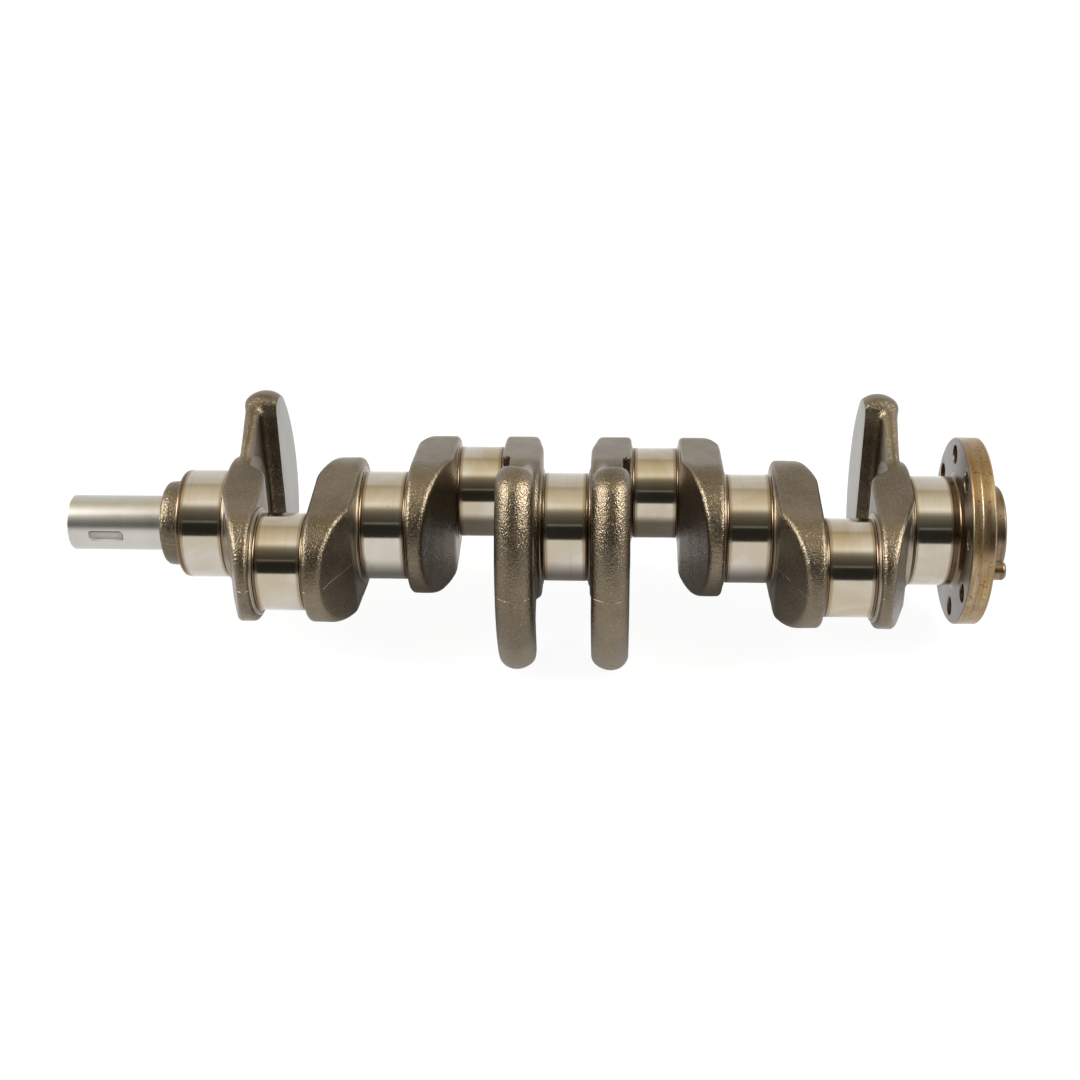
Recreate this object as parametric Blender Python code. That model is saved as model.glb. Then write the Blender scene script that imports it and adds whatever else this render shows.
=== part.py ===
"""Forged crankshaft of an in-line four-cylinder engine: five main journals and four crankpins.

Frame: +X runs along the main bearing axis from the front snout to the rear flange, and the four
throws lie in the XY plane (crankpins 1 and 4 towards -Y, crankpins 2 and 3 towards +Y).  The origin
is the middle of the overall box.  The shaft is sectioned where its surfaces change: each journal,
web, and end fitting is a solid of its own with a hairline gap to its neighbour.
"""
import math

import bmesh
import bpy
from mathutils import Matrix, Vector

# ---------------------------------------------------------------------------------------------
# Driving dimensions, in millimetres (turned into metres by MM when a mesh is made)
# ---------------------------------------------------------------------------------------------
MM = 0.001
GAP = 0.3                   # hairline left between neighbouring solids

PITCH = 95.8                # main bearing to main bearing
THROW = 42.0                # crankpin axis to main axis: an 84 mm stroke
MAIN_R = 29.0
PIN_R = 25.25
MAIN_HALF = 10.8            # half of a main journal's ground width
PIN_HALF = 11.35            # half of a crankpin's ground width
FILLET = 1.3                # ground width's edge to the face of the thrust ring beside it
RING_R_OVER_MAIN = 2.8      # how far each thrust ring stands out around its journal
RING_R_OVER_PIN = 2.6
RING_DEPTH = 6.0            # how deep a ring's solid reaches into its web

SNOUT_R = 14.75
SNOUT_FRONT = -268.0        # measured along X from the middle of main journal 3
COLLAR_R = 22.8
COLLAR_FRONT = -215.8
COLLAR_EDGE = 3.0           # rounding of the collar's front edge
MAIN_1_FRONT = -205.5
MAIN_1_SHOULDER = 7.0       # rounded shoulder in front of the first journal's ground width
MAIN_1_SHOULDER_DROP = 4.5
FLANGE_R = 49.5
FLANGE_FRONT = 205.0
FLANGE_REAR = 217.0
BOSS_R = 24.0
BOSS_REAR = 228.2
PILOT_R = 11.0
EDGE = 1.0                  # turned chamfer on every free edge

BOLT_CIRCLE_R = 40.5
BOLT_HOLE_R = 5.0
BOLT_HOLES = 8
FIRST_HOLE_DEG = 20.4       # above the throw plane, on the -Y side
DOWEL_DEG = -2.1            # midway between two bolt holes
DOWEL_R = 4.9
DOWEL_SEAT = 208.0
DOWEL_REAR = 224.0

KEYWAY_FRONT = -256.4
KEYWAY_LENGTH = 18.8
KEYWAY_WIDTH = 6.0
KEYWAY_DEPTH = 2.6
KEYWAY_CORNER = 1.8
KEYWAY_DEG = -3.7           # below the throw plane, on the -Y side
SNOUT_BORE_R = 5.1          # pulley bolt's hole
SNOUT_BORE_DEPTH = 38.0

OIL_R = 2.0
OIL_EXIT_DEG = 62.0         # where a drilling leaves its crankpin, from the throw direction

WEB_WIDTH = PITCH / 2 - MAIN_HALF - PIN_HALF
PIN_LOBE_R = 31.0           # web's outline around the crankpin axis
FORGED_EDGE = 3.5           # rounding of the web's rim

WEIGHT_R = 80.0             # counterweight's outer radius
WEIGHT_CORNER_R = 15.0      # rounding of its two tips
WEIGHT_CORNER_DEG = 42.5    # where the tips' centres lie, from the counterweight's middle
WEIGHT_SIDES = {            # counterweight's two faces, from the main journal's ground edge
    "end": (2.4, 20.6),
    "centre": (4.0, 22.8),
}
WEIGHT_STEP = 38.0          # main axis to the step where the counterweight gets thick
NECK_PIN_SIDE = 12.0        # pin-side face of the thinner neck under that step
NECK_MAIN_SIDE = 1.6        # the neck's main-side face, behind the counterweight's
NECK_SINK = 0.4             # the neck's outline stays this far inside the counterweight's
HUB_R = 34.0                # neck's outline around the main axis

OVERALL_SHIFT = -(SNOUT_FRONT + BOSS_REAR) / 2   # puts the origin at the middle of the box

# Each kind of web: its outline's radius around the main axis, and how its two faces slope, so that
# the metal follows the load from main journal to crankpin: (offset of the flat part, distance from
# the main axis where the slope starts, slope's far offset), on the main side towards the crankpin
# and on the pin side towards the opposite end.
WEB_SHAPES = {
    "plain": {"main_lobe": 36.4, "main_side": (2.2, 41.0, 15.5), "pin_side": (1.8, 10.0, 15.75)},
    "end": {"main_lobe": 36.4, "main_side": (2.0, 24.0, 17.5), "pin_side": (2.6, 14.0, 13.75)},
    "centre": {"main_lobe": 38.5, "main_side": (2.2, 30.0, 8.5), "pin_side": (1.7, 14.0, 13.75)},
}
# web number: shape, main journal's number, crankpin's number
WEBS = {
    1: ("end", 1, 1), 2: ("plain", 2, 1), 3: ("plain", 2, 2), 4: ("centre", 3, 2),
    5: ("centre", 3, 3), 6: ("plain", 4, 3), 7: ("plain", 4, 4), 8: ("end", 5, 4),
}
OIL_LINES = {1: 1, 2: 2, 3: 4, 4: 5}             # crankpin's number: main journal that feeds it

FINISHES = {                                     # colour, metallic, roughness
    "ground_steel": ((0.62, 0.58, 0.50), 1.0, 0.22),
    "forged_steel": ((0.26, 0.22, 0.17), 0.8, 0.45),
    "turned_steel": ((0.55, 0.53, 0.49), 1.0, 0.35),
    "stained_steel": ((0.42, 0.34, 0.20), 0.9, 0.40),
}


def main_x(number):
    """Middle of a main journal along X."""
    return (number - 3) * PITCH


def pin_x(number):
    """Middle of a crankpin along X."""
    return (number - 2.5) * PITCH


def pin_side(number):
    """-1 where a crankpin's throw points to -Y, and +1 where it points to +Y."""
    return -1 if number in (1, 4) else 1


# ---------------------------------------------------------------------------------------------
# Mesh helpers
# ---------------------------------------------------------------------------------------------
def material(finish):
    found = bpy.data.materials.get(finish)
    if found:
        return found
    colour, metallic, roughness = FINISHES[finish]
    made = bpy.data.materials.new(finish)
    made.use_nodes = True
    shader = made.node_tree.nodes["Principled BSDF"]
    shader.inputs["Base Color"].default_value = (*colour, 1.0)
    shader.inputs["Metallic"].default_value = metallic
    shader.inputs["Roughness"].default_value = roughness
    return made


def add_object(name, mesh_builder, finish=None):
    """Make a named object, in metres, from a bmesh built in millimetres."""
    bmesh.ops.recalc_face_normals(mesh_builder, faces=mesh_builder.faces)
    shift = Matrix.Translation((OVERALL_SHIFT, 0.0, 0.0))
    mesh_builder.transform(Matrix.Scale(MM, 4) @ shift)
    mesh = bpy.data.meshes.new(name)
    mesh_builder.to_mesh(mesh)
    mesh_builder.free()
    mesh.shade_smooth()
    mesh.set_sharp_from_angle(angle=math.radians(32))
    made = bpy.data.objects.new(name, mesh)
    bpy.context.scene.collection.objects.link(made)
    if finish:
        mesh.materials.append(material(finish))
    return made


def lathe(profile, segments, centre_y=0.0):
    """Turn (x, radius) points about an axis parallel to X.  A radius of 0 ends in one point."""
    built = bmesh.new()
    rings = []
    for x, radius in profile:
        if radius == 0.0:
            rings.append([built.verts.new((x, centre_y, 0.0))])
            continue
        ring = []
        for step in range(segments):
            angle = 2 * math.pi * step / segments
            ring.append(built.verts.new((x, centre_y + radius * math.cos(angle), radius * math.sin(angle))))
        rings.append(ring)
    closed_profile = len(rings[0]) > 1
    pairs = list(zip(rings, rings[1:]))
    if closed_profile:
        pairs.append((rings[-1], rings[0]))
    for first, second in pairs:
        for step in range(segments):
            after = (step + 1) % segments
            if len(first) == 1:
                built.faces.new((first[0], second[step], second[after]))
            elif len(second) == 1:
                built.faces.new((first[step], first[after], second[0]))
            else:
                built.faces.new((first[step], first[after], second[after], second[step]))
    return built


def solid_of(points):
    """The convex solid around a cloud of points."""
    built = bmesh.new()
    for point in points:
        built.verts.new(point)
    hull = bmesh.ops.convex_hull(built, input=built.verts)
    inside = set(hull["geom_interior"]) | set(hull["geom_unused"])
    inside_points = [item for item in inside if isinstance(item, bmesh.types.BMVert)]
    bmesh.ops.delete(built, geom=inside_points, context="VERTS")
    bmesh.ops.dissolve_limit(built, angle_limit=math.radians(0.5), verts=built.verts, edges=built.edges)
    return built


def combine(target, other, operation):
    """Add or cut another object, which stays as a hidden guide."""
    other.hide_render = True
    other.display_type = "WIRE"
    modifier = target.modifiers.new(operation.lower() + "_" + other.name, "BOOLEAN")
    modifier.operation = operation
    modifier.solver = "EXACT"
    modifier.object = other


# ---------------------------------------------------------------------------------------------
# Journals and end fittings
# ---------------------------------------------------------------------------------------------
def journal(name, start, end, radius, centre_y=0.0, shoulder=((0.0, 0.0),)):
    """A journal; each step of its shoulder is (distance from the start, drop in radius)."""
    profile = [(start, 0.0)]
    profile += [(start + distance, radius - drop) for distance, drop in shoulder]
    profile += [(end, radius), (end, 0.0)]
    return add_object(name, lathe(profile, 48, centre_y), "ground_steel")


def quarter_round(length, drop, steps=3):
    """(distance, drop) steps of a rounded edge, from its face to its full radius."""
    angles = [math.pi / 2 * step / steps for step in range(steps + 1)]
    return [(length * (1 - math.cos(angle)), drop * (1 - math.sin(angle))) for angle in angles]


def main_journals():
    reach = MAIN_HALF + FILLET - GAP
    for number in range(1, 6):
        start = main_x(number) - reach
        end = main_x(number) + reach
        shoulder = ((0.0, 0.0),)
        if number == 1:
            start = MAIN_1_FRONT
            shoulder = quarter_round(MAIN_1_SHOULDER, MAIN_1_SHOULDER_DROP)
        if number == 5:
            end = FLANGE_FRONT - GAP
        journal("main_journal_%d" % number, start, end, MAIN_R, shoulder=shoulder)


def crankpins():
    reach = PIN_HALF + FILLET - GAP
    for number in range(1, 5):
        centre = pin_x(number)
        journal("crankpin_%d" % number, centre - reach, centre + reach, PIN_R, pin_side(number) * THROW)


def keyway_cutter():
    """Rounded slot, from its floor outwards, turned to its angle about the shaft."""
    floor = SNOUT_R - KEYWAY_DEPTH
    top = SNOUT_R + 2.0
    half = KEYWAY_WIDTH / 2 - KEYWAY_CORNER
    turn = Matrix.Rotation(-math.radians(KEYWAY_DEG), 3, "X")
    points = []
    for x in (KEYWAY_FRONT + KEYWAY_CORNER, KEYWAY_FRONT + KEYWAY_LENGTH - KEYWAY_CORNER):
        for z in (-half, half):
            for step in range(16):
                angle = 2 * math.pi * step / 16
                for y in (-floor, -top):
                    corner = Vector((KEYWAY_CORNER * math.cos(angle), 0, KEYWAY_CORNER * math.sin(angle)))
                    points.append(turn @ (Vector((x, y, z)) + corner))
    return add_object("keyway_cutter", solid_of(points))


def front_end():
    bore_end = SNOUT_FRONT + SNOUT_BORE_DEPTH
    snout = lathe([
        (bore_end + SNOUT_BORE_R / 2, 0.0), (bore_end, SNOUT_BORE_R), (SNOUT_FRONT + EDGE, SNOUT_BORE_R),
        (SNOUT_FRONT, SNOUT_BORE_R + EDGE), (SNOUT_FRONT, SNOUT_R - EDGE), (SNOUT_FRONT + EDGE, SNOUT_R),
        (COLLAR_FRONT, SNOUT_R), (COLLAR_FRONT, 0.0),
    ], 48)
    combine(add_object("front_snout", snout, "turned_steel"), keyway_cutter(), "DIFFERENCE")
    collar_rear = MAIN_1_FRONT - GAP
    seat = SNOUT_R + GAP                         # the snout ends in a hairline seat in the collar
    profile = [(COLLAR_FRONT + GAP, 0.0), (COLLAR_FRONT + GAP, seat), (COLLAR_FRONT, seat)]
    for distance, drop in quarter_round(COLLAR_EDGE, COLLAR_EDGE):
        profile.append((COLLAR_FRONT + distance, COLLAR_R - drop))
    profile += [(collar_rear, COLLAR_R), (collar_rear, 0.0)]
    add_object("front_collar", lathe(profile, 48), "forged_steel")


def flange_point(degrees, x):
    """A point on the bolt circle, its angle measured above the throw plane on the -Y side."""
    angle = math.radians(degrees)
    return Vector((x, -BOLT_CIRCLE_R * math.cos(angle), BOLT_CIRCLE_R * math.sin(angle)))


def drill(name, start, end, radius, segments=20):
    """A straight cylinder from one point to another, used as a cutter or a pin."""
    along = end - start
    built = bmesh.new()
    turn = along.to_track_quat("Z", "Y").to_matrix().to_4x4()
    bmesh.ops.create_cone(built, cap_ends=True, segments=segments, radius1=radius, radius2=radius,
                          depth=along.length, matrix=Matrix.Translation((start + end) / 2) @ turn)
    return built if name is None else add_object(name, built)


def rear_end():
    flange = add_object("rear_flange", lathe([
        (FLANGE_FRONT, PILOT_R), (FLANGE_FRONT, FLANGE_R - EDGE), (FLANGE_FRONT + EDGE, FLANGE_R),
        (FLANGE_REAR - EDGE, FLANGE_R), (FLANGE_REAR, FLANGE_R - EDGE), (FLANGE_REAR, BOSS_R + GAP),
        (FLANGE_REAR - GAP, BOSS_R + GAP), (FLANGE_REAR - GAP, PILOT_R),
    ], 64), "stained_steel")
    for number in range(BOLT_HOLES):
        degrees = FIRST_HOLE_DEG + number * 360.0 / BOLT_HOLES
        hole = drill("bolt_hole_cutter_%d" % (number + 1), flange_point(degrees, FLANGE_FRONT - 2),
                     flange_point(degrees, FLANGE_REAR + 2), BOLT_HOLE_R)
        combine(flange, hole, "DIFFERENCE")
    seat = drill("dowel_seat_cutter", flange_point(DOWEL_DEG, DOWEL_SEAT - GAP),
                 flange_point(DOWEL_DEG, FLANGE_REAR + 2), DOWEL_R + GAP)
    combine(flange, seat, "DIFFERENCE")
    dowel = drill(None, flange_point(DOWEL_DEG, DOWEL_SEAT), flange_point(DOWEL_DEG, DOWEL_REAR), DOWEL_R)
    add_object("flange_dowel_pin", dowel, "turned_steel")
    add_object("pilot_boss", lathe([
        (FLANGE_REAR, PILOT_R), (FLANGE_REAR, BOSS_R), (BOSS_REAR - EDGE, BOSS_R), (BOSS_REAR, BOSS_R - EDGE),
        (BOSS_REAR, PILOT_R + EDGE), (BOSS_REAR - EDGE, PILOT_R),
    ], 48), "turned_steel")


# ---------------------------------------------------------------------------------------------
# Webs.  A web is laid out in its own directions: "depth" from the main journal's ground edge
# towards the crankpin, "reach" from the main axis towards the crankpin's axis, and "side"
# across both.
# ---------------------------------------------------------------------------------------------
def lobe_outline(shape, inset):
    """(reach, side) points around both lobes of a web, drawn in by an inset."""
    main_lobe = WEB_SHAPES[shape]["main_lobe"]
    tangent = math.acos((main_lobe - PIN_LOBE_R) / THROW)
    points = []
    for step in range(19):
        angle = tangent + (2 * math.pi - 2 * tangent) * step / 18
        radius = main_lobe - inset
        points.append((radius * math.cos(angle), radius * math.sin(angle)))
    for step in range(15):
        angle = -tangent + 2 * tangent * step / 14
        radius = PIN_LOBE_R - inset
        points.append((THROW + radius * math.cos(angle), radius * math.sin(angle)))
    return points


def web_faces(shape, reach):
    """Depth of a web's main-side and pin-side faces at a reach from the main axis."""
    flat, start, far = WEB_SHAPES[shape]["main_side"]
    slope = (far - flat) / (THROW + PIN_LOBE_R - start)
    low = flat + max(0.0, reach - start) * slope
    flat, start, far = WEB_SHAPES[shape]["pin_side"]
    slope = (far - flat) / (start + WEB_SHAPES[shape]["main_lobe"])
    high = WEB_WIDTH - flat - max(0.0, start - reach) * slope
    return low, high


def web_cloud(shape):
    """Points of a web's sloped body with its rim rounded in two steps."""
    points = []
    for inset, rise in ((0.0, FORGED_EDGE), (0.3 * FORGED_EDGE, 0.3 * FORGED_EDGE), (FORGED_EDGE, 0.0)):
        for reach, side in lobe_outline(shape, inset):
            low, high = web_faces(shape, reach)
            rise_here = min(rise, (high - low) / 2)
            points.append((low + rise_here, reach, side))
            points.append((high - rise_here, reach, side))
    return points


def weight_outline(inset, inner):
    """(reach, side) points around a counterweight: outer arc, round tips, then its inner side."""
    middle = math.radians(WEIGHT_CORNER_DEG)
    centre_reach = (WEIGHT_R - WEIGHT_CORNER_R) * math.cos(middle)
    centre_side = (WEIGHT_R - WEIGHT_CORNER_R) * math.sin(middle)
    corner = WEIGHT_CORNER_R - inset
    stop = math.acos(max(-1.0, (WEIGHT_STEP - centre_reach) / corner))
    points = []
    for step in range(13):
        angle = middle * (step / 6 - 1)
        radius = WEIGHT_R - inset
        points.append((-radius * math.cos(angle), radius * math.sin(angle)))
    for step in range(1, 7):
        angle = middle + (stop - middle) * step / 6
        for way in (-1, 1):
            points.append((-centre_reach - corner * math.cos(angle),
                           way * (centre_side + corner * math.sin(angle))))
    if inner == "hub":
        for step in range(24):
            angle = 2 * math.pi * step / 24
            points.append(((HUB_R - inset) * math.cos(angle), (HUB_R - inset) * math.sin(angle)))
    return points


# (part of the thickness, inset) down a counterweight's round nose and along the neck's edge
WEIGHT_NOSE = (0.0, 6.5), (0.08, 3.4), (0.22, 1.1), (0.45, 0.0), (0.72, 0.7), (0.9, 2.2), (1.0, 3.8)
NECK_NOSE = (0.0, 6.5), (0.16, 3.4), (0.48, 1.1), (1.0, 0.0)


def weight_cloud(shape):
    """The thick, round-nosed counterweight beyond its step."""
    main_side, far_side = WEIGHT_SIDES[shape]
    thick = far_side - main_side
    points = []
    for part, inset in WEIGHT_NOSE:
        for reach, side in weight_outline(inset, "step"):
            points.append((main_side + part * thick, reach, side))
    return points


def neck_cloud(shape):
    """The thinner plate that joins the counterweight to the main journal's end of the web."""
    main_side = WEIGHT_SIDES[shape][0] + NECK_MAIN_SIDE
    thick = NECK_PIN_SIDE - main_side
    points = []
    for part, inset in NECK_NOSE:
        for reach, side in weight_outline(inset + NECK_SINK, "hub"):
            points.append((main_side + part * thick, reach, side))
    return points


def place_web(cloud, number):
    """Turn (depth, reach, side) points of a web into the shaft's own coordinates."""
    _, main_number, pin_number = WEBS[number]
    way = 1 if pin_x(pin_number) > main_x(main_number) else -1
    edge = main_x(main_number) + way * MAIN_HALF
    throw_way = pin_side(pin_number)
    return [Vector((edge + way * depth, throw_way * reach, side)) for depth, reach, side in cloud]


def thrust_ring(number, at_pin):
    """The turned ring that a web carries around a journal, as a solid reaching into the web."""
    _, main_number, pin_number = WEBS[number]
    way = 1 if pin_x(pin_number) > main_x(main_number) else -1
    if at_pin:
        face = pin_x(pin_number) - way * (PIN_HALF + FILLET)
        inner = face - way * RING_DEPTH
        radius = PIN_R + RING_R_OVER_PIN
        centre_y = pin_side(pin_number) * THROW
    else:
        face = main_x(main_number) + way * (MAIN_HALF + FILLET)
        inner = face + way * RING_DEPTH
        radius = MAIN_R + RING_R_OVER_MAIN
        centre_y = 0.0
    low, high = sorted((face, inner))
    name = "ring_%s_%d" % ("pin" if at_pin else "main", number)
    return add_object(name, lathe([(low, 0.0), (low, radius), (high, radius), (high, 0.0)], 40, centre_y))


def webs():
    for number, (shape, _, _) in WEBS.items():
        body = solid_of(place_web(web_cloud(shape), number))
        web = add_object("web_%d" % number, body, "forged_steel")
        if shape != "plain":
            neck = add_object("neck_%d" % number, solid_of(place_web(neck_cloud(shape), number)))
            weight = add_object("weight_%d" % number, solid_of(place_web(weight_cloud(shape), number)))
            combine(web, neck, "UNION")
            combine(web, weight, "UNION")
        for at_pin in (False, True):
            combine(web, thrust_ring(number, at_pin), "UNION")


def oil_drillings():
    """Straight drillings from a main journal through the web into its crankpin."""
    angle = math.radians(OIL_EXIT_DEG)
    for pin_number, main_number in OIL_LINES.items():
        way = pin_side(pin_number)
        out = Vector((0.0, way * math.cos(angle), way * math.sin(angle)))
        exit_point = Vector((pin_x(pin_number), way * THROW, 0.0)) + out * PIN_R
        entry_point = Vector((main_x(main_number), 0.0, 0.0)) - out * MAIN_R
        along = (exit_point - entry_point).normalized()
        cutter = drill("oil_cutter_%d" % pin_number, entry_point - 4 * along, exit_point + 4 * along,
                       OIL_R, segments=12)
        web_number = next(n for n, row in WEBS.items() if row[1:] == (main_number, pin_number))
        for name in ("main_journal_%d" % main_number, "web_%d" % web_number, "crankpin_%d" % pin_number):
            combine(bpy.data.objects[name], cutter, "DIFFERENCE")


def build():
    for old in list(bpy.data.objects):
        bpy.data.objects.remove(old)
    front_end()
    main_journals()
    crankpins()
    webs()
    rear_end()
    oil_drillings()


build()
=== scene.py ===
import math

import bmesh
import bpy
import numpy as np
from mathutils import Matrix, Vector, noise


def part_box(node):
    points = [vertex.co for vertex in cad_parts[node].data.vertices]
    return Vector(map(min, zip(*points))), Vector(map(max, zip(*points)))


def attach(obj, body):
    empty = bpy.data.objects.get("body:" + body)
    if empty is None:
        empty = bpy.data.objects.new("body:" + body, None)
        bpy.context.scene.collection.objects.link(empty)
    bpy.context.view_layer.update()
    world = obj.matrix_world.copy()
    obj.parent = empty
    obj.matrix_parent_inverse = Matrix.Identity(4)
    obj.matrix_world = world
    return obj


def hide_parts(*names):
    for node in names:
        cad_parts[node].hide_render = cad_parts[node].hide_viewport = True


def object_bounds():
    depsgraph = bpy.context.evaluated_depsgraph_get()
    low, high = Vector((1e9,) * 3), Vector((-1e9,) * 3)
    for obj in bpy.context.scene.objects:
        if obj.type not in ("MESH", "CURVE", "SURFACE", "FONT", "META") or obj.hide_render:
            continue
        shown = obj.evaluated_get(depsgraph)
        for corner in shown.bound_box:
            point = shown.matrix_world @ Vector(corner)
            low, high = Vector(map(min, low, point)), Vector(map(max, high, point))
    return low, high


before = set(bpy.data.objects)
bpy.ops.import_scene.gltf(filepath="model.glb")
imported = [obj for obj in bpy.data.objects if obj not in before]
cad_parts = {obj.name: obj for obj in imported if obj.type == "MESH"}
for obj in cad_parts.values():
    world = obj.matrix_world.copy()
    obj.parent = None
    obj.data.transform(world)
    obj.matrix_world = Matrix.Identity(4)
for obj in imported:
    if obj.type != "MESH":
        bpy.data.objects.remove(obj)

cad_low, cad_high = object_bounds()

MM = 0.001


def cad_box(node):
    """Lowest and highest corner of a CAD node in millimetres."""
    low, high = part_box(node)
    return np.array(low) / MM, np.array(high) / MM


def cad_middle(node):
    low, high = cad_box(node)
    return (low + high) / 2


def cad_radius(node):
    low, high = cad_box(node)
    return (high[2] - low[2]) / 2


# ---- Sizes read from the frame ----
MIDDLE = cad_middle("main_journal_3")[0]
PITCH = MIDDLE - cad_middle("main_journal_2")[0]
THROW = cad_middle("crankpin_2")[1]
MAIN_R = cad_radius("main_journal_3")
PIN_R = cad_radius("crankpin_2")
SNOUT_R = cad_radius("front_snout")
COLLAR_R = cad_radius("front_collar")
FLANGE_R = cad_radius("rear_flange")
BOSS_R = cad_radius("pilot_boss")
DOWEL_R = cad_radius("flange_dowel_pin")
SNOUT_FRONT = cad_box("front_snout")[0][0] - MIDDLE
COLLAR_FRONT = cad_box("front_collar")[0][0] - MIDDLE
MAIN_1_FRONT = cad_box("main_journal_1")[0][0] - MIDDLE
FLANGE_FRONT = cad_box("rear_flange")[0][0] - MIDDLE
FLANGE_REAR = cad_box("rear_flange")[1][0] - MIDDLE
BOSS_REAR = cad_box("pilot_boss")[1][0] - MIDDLE
DOWEL_REAR = cad_box("flange_dowel_pin")[1][0] - MIDDLE
FLOOR_Z = cad_low.z

# ---- Sizes of what the frame's boxes don't say ----
MAIN_HALF = 10.8            # half of a main journal's ground width
PIN_HALF = 11.35            # half of a crankpin's ground width
FILLET = 1.3                # ground edge to the face of the thrust ring beside it
UNDERCUT = 0.25             # how far the rolled fillet sinks below the journal
RING_OVER_MAIN = 2.8        # how far a thrust ring stands out around its journal
RING_OVER_PIN = 2.6
RING_DEPTH = 4.0            # how far a ring's mesh reaches into its web
TURNS = 144                 # steps around a turned piece
SHARP = 34.0                # an edge that turns by more degrees than this is shaded sharp

WEB_WIDTH = PITCH / 2 - MAIN_HALF - PIN_HALF
PIN_LOBE_R = 31.0           # a web's outline around the crankpin's axis
FORGED_EDGE = 2.4           # rounding of a web's edges
FORGED_RIDGE = 0.9          # and of the ridge between its flat and sloping faces
WEIGHT_R = 79.8             # a counterweight's rim around the main axis
WEIGHT_HALF = 62.0          # half of its width, with some room
WEIGHT_CORNER_R = 15.0      # rounding of its two tips
WEIGHT_CORNER = math.radians(42.5)      # and the angle between each tip and its middle
WEIGHT_STEP = 38.0          # main axis to the step where a counterweight gets thick
PAD_CORNER = 8.0            # rounding of the thick part's corners beside its step
HUB_R = 34.0                # main axis to the straight flanks between hub and rim
NECK_FACE = 12.2            # depth of the neck's as-forged face beside the crankpin
NECK_EDGE = 4.5             # rounding of the neck's edges
NECK_INSET = 0.3            # how far its outline lies inside the counterweight's, at the hub
NECK_INSET_OUT = 3.2        # and how much further out at the counterweight's rim
NECK_RIM = WEIGHT_R - 8.0   # radius where the neck's first face is no deeper than the weight's
NECK_MELT = 3.0             # blend of the neck with the counterweight
HUB_MELT = 2.2              # and of both with the web's body
CHEEKS = {"end": 13.2, "centre": 19.0}     # depth of the cheek that is turned beside the crankpin
CHEEK_CUT_R = 80.3          # radius of that cut around the crankpin's axis
BRIGHT_BELOW = 2.6          # how far under the skin the cut shows bright metal
BRIGHT_WITHIN = 53.0        # and how far from the crankpin's axis
CHEEK_HUB_R = 28.6          # metal that the cut leaves around the crankpin's thrust ring
CHEEK_END = 1.7             # reach where the cut's sloping end starts
CHEEK_END_SLOPE = 0.87      # how much further that end reaches for each unit of depth
WEB_CELL = 1.2              # size of the cells that a web's mesh is made of

# Outline's radius around the main axis, then each face: flat offset, reach where the slope starts
# and the slope's far offset, on the main journal's side and on the crankpin's side.
WEB_SHAPES = {
    "plain": (36.4, (2.2, 41.0, 15.5), (1.8, 10.0, 15.75)),
    "end": (36.4, (2.0, 24.0, 17.5), (2.6, 14.0, 13.75)),
    "centre": (38.5, (2.2, 30.0, 8.5), (1.7, 14.0, 13.75)),
}
# Counterweights: depth of both faces, forged metal milled off the second one, the nose's rounding
# on both sides, and how much deeper the neck's first face lies at the hub.
WEIGHTS = {
    "end": (1.7, 20.6, 3.0, 9.8, 11.0, 3.8),
    "centre": (4.0, 22.8, 0.2, 9.4, 9.4, 1.0),
}
# web's number: its shape, main journal's number and crankpin's number
WEBS = {
    1: ("end", 1, 1), 2: ("plain", 2, 1), 3: ("plain", 2, 2), 4: ("centre", 3, 2),
    5: ("centre", 3, 3), 6: ("plain", 4, 3), 7: ("plain", 4, 4), 8: ("end", 5, 4),
}
OIL_LINES = {1: 1, 2: 2, 3: 4, 4: 5}    # crankpin's number: main journal that feeds it
OIL_R = 2.0
OIL_DEPTH = 14.0                        # how deep the drillings are drawn
OIL_EXIT = math.radians(62.0)           # from the throw direction

KEYWAY_FRONT = -256.4
KEYWAY_LENGTH = 18.8
KEYWAY_WIDTH = 6.0
KEYWAY_DEPTH = 2.6
KEYWAY_CORNER = 1.8
KEYWAY_TURN = math.radians(-3.7)        # from the throw plane, on the -Y side
KEYWAY_SHADE_ABOVE = 0.05                 # height above which the keyway's floor is painted dark, a painted shadow under its upper wall
KEYWAY_SHADE_END = 1.35                   # and how far from its rear end
SNOUT_BORE_R = 5.1
SNOUT_BORE_DEPTH = 36.0
THREAD_PITCH = 1.5
PILOT_R = 11.0
BOLT_CIRCLE_R = 40.5
BOLT_HOLE_R = 5.0
BOLT_HOLES = 8
FIRST_HOLE = math.radians(20.4)
DOWEL_TURN = math.radians(-2.1)
DOWEL_SUNK = 8.5                        # length of the dowel inside the flange


def main_x(number):
    return (number - 3) * PITCH


def pin_x(number):
    return (number - 2.5) * PITCH


def pin_side(number):
    """-1 where a crankpin's throw points to -Y, and +1 where it points to +Y."""
    return -1 if number in (1, 4) else 1


# ---- Mesh helpers ----
def to_row(points):
    """Shaft coordinates in millimetres to the frame's own in metres."""
    return (np.asarray(points, float) + (MIDDLE, 0.0, 0.0)) * MM


def make_piece(name, points, faces, materials, sharp_deg=SHARP):
    mesh = bpy.data.meshes.new(name)
    mesh.from_pydata(to_row(points).tolist(), [], [list(map(int, face)) for face in faces])
    piece = bpy.data.objects.new(name, mesh)
    bpy.context.scene.collection.objects.link(piece)
    for item in materials:
        mesh.materials.append(item)
    tidy_normals(piece, sharp_deg)
    return piece


def tidy_normals(piece, sharp_deg=SHARP):
    edit = bmesh.new()
    edit.from_mesh(piece.data)
    bmesh.ops.recalc_face_normals(edit, faces=edit.faces)
    edit.to_mesh(piece.data)
    edit.free()
    piece.data.shade_smooth()
    piece.data.set_sharp_from_angle(angle=math.radians(sharp_deg))


def finish_piece(piece, node):
    """Hand a finished piece to the frame, in the place of its CAD node."""
    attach(piece, "root")
    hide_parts(node)


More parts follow.
